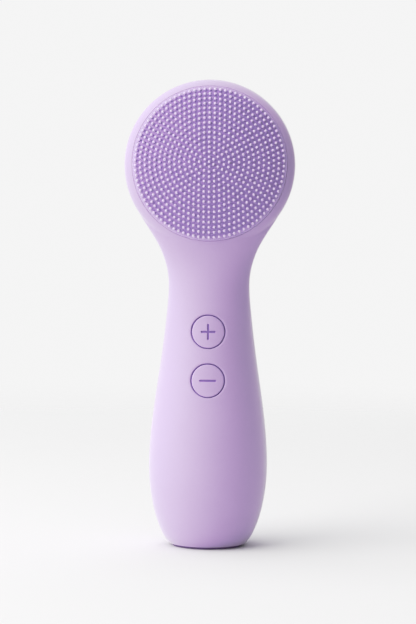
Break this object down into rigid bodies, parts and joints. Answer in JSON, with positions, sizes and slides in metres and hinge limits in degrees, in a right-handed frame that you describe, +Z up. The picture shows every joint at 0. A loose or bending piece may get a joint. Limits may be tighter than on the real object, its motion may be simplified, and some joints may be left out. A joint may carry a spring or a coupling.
{
  "type": "facial cleansing brush",
  "caption": "Handheld cleansing brush that stands on its base: round tilted head with a domed silicone bristle pad, waisted handle, two round press buttons.",
  "frame": {"origin": "middle of the foot's underside, on the surface that the brush stands on", "axes": "+Z up along the handle, -Y the way the bristle face and the buttons look, +X to the right as seen from the front"},
  "size_m": [0.0596, 0.0376, 0.1641],
  "materials": {
    "housing": "soft-touch matte lilac",
    "button_plastic": "soft-touch matte lilac",
    "pad_silicone": "satin silicone, deeper lilac",
    "foot_rubber": "matte",
    "grey_rubber": "matte",
    "inner_plastic": "moulded natural white",
    "black_plastic": "moulded",
    "board_green": "solder mask",
    "led_lens": "clear epoxy",
    "steel": "zinc plated",
    "magnet_metal": "nickel plated",
    "weight_brass": "turned",
    "contact_brass": "gold plated",
    "cell_wrap": "shrink-wrapped",
    "foam": "open cell",
    "red_wire": "insulated wire",
    "blue_wire": "insulated wire",
    "black_wire": "insulated wire"
  },
  "bodies": {
    "housing": {"front_shell": "housing", "rear_shell": "housing", "seam_seal": "grey_rubber", "bristle_pad": "pad_silicone", "pad_carrier": "inner_plastic", "pad_seal": "grey_rubber", "carrier_screw_1": "steel", "carrier_screw_2": "steel", "carrier_screw_3": "steel", "motor_can": "steel", "motor_end_cap": "black_plastic", "motor_sleeve": "grey_rubber", "motor_cradle": "inner_plastic", "motor_clamp": "steel", "clamp_screw_1": "steel", "clamp_screw_2": "steel", "button_gasket": "grey_rubber", "plus_switch": "black_plastic", "minus_switch": "black_plastic", "circuit_board": "board_green", "controller_chip": "black_plastic", "charger_chip": "black_plastic", "status_led": "led_lens", "board_screw_1": "steel", "board_screw_2": "steel", "chassis": "inner_plastic", "battery_cell": "cell_wrap", "battery_top_tab": "steel", "battery_bottom_tab": "steel", "battery_foam": "foam", "motor_lead_1": "red_wire", "motor_lead_2": "blue_wire", "battery_lead_positive": "red_wire", "battery_lead_negative": "black_wire", "charge_lead_1": "black_wire", "charge_lead_2": "red_wire", "charge_block": "black_plastic", "charge_pin_1": "contact_brass", "charge_pin_2": "contact_brass", "charge_magnet_1": "magnet_metal", "charge_magnet_2": "magnet_metal", "base_cap": "inner_plastic", "base_foot": "foot_rubber", "base_screw_1": "steel", "base_screw_2": "steel"},
    "plus_button": {"plus_button": "button_plastic"},
    "minus_button": {"minus_button": "button_plastic"},
    "plus_plunger": {"plus_switch_plunger": "inner_plastic"},
    "minus_plunger": {"minus_switch_plunger": "inner_plastic"},
    "rotor": {"motor_shaft": "steel", "eccentric_weight": "weight_brass"}
  },
  "joints": [
    {"name": "plus_press", "type": "slide", "parent": "housing", "child": "plus_button", "axis": [0, 1, 0], "range_m": [0, 0.0005], "stiffness_N_per_m": 1500, "springref_m": -0.0005},
    {"name": "minus_press", "type": "slide", "parent": "housing", "child": "minus_button", "axis": [0, 1, 0], "range_m": [0, 0.0005], "stiffness_N_per_m": 1500, "springref_m": -0.0005},
    {"name": "plus_plunger_press", "type": "slide", "parent": "housing", "child": "plus_plunger", "axis": [0, 1, 0], "range_m": [0, 0.0003]},
    {"name": "minus_plunger_press", "type": "slide", "parent": "housing", "child": "minus_plunger", "axis": [0, 1, 0], "range_m": [0, 0.0003]},
    {"name": "rotor_spin", "type": "hinge", "parent": "housing", "child": "rotor", "pos_m": [0, -0.0031, 0.13412], "axis": [0, 0.0523, 0.9986], "continuous": true}
  ],
  "couplings": [
    {"joint": "plus_plunger_press", "follows": "plus_press", "ratio": 0.6},
    {"joint": "minus_plunger_press", "follows": "minus_press", "ratio": 0.6}
  ]
}
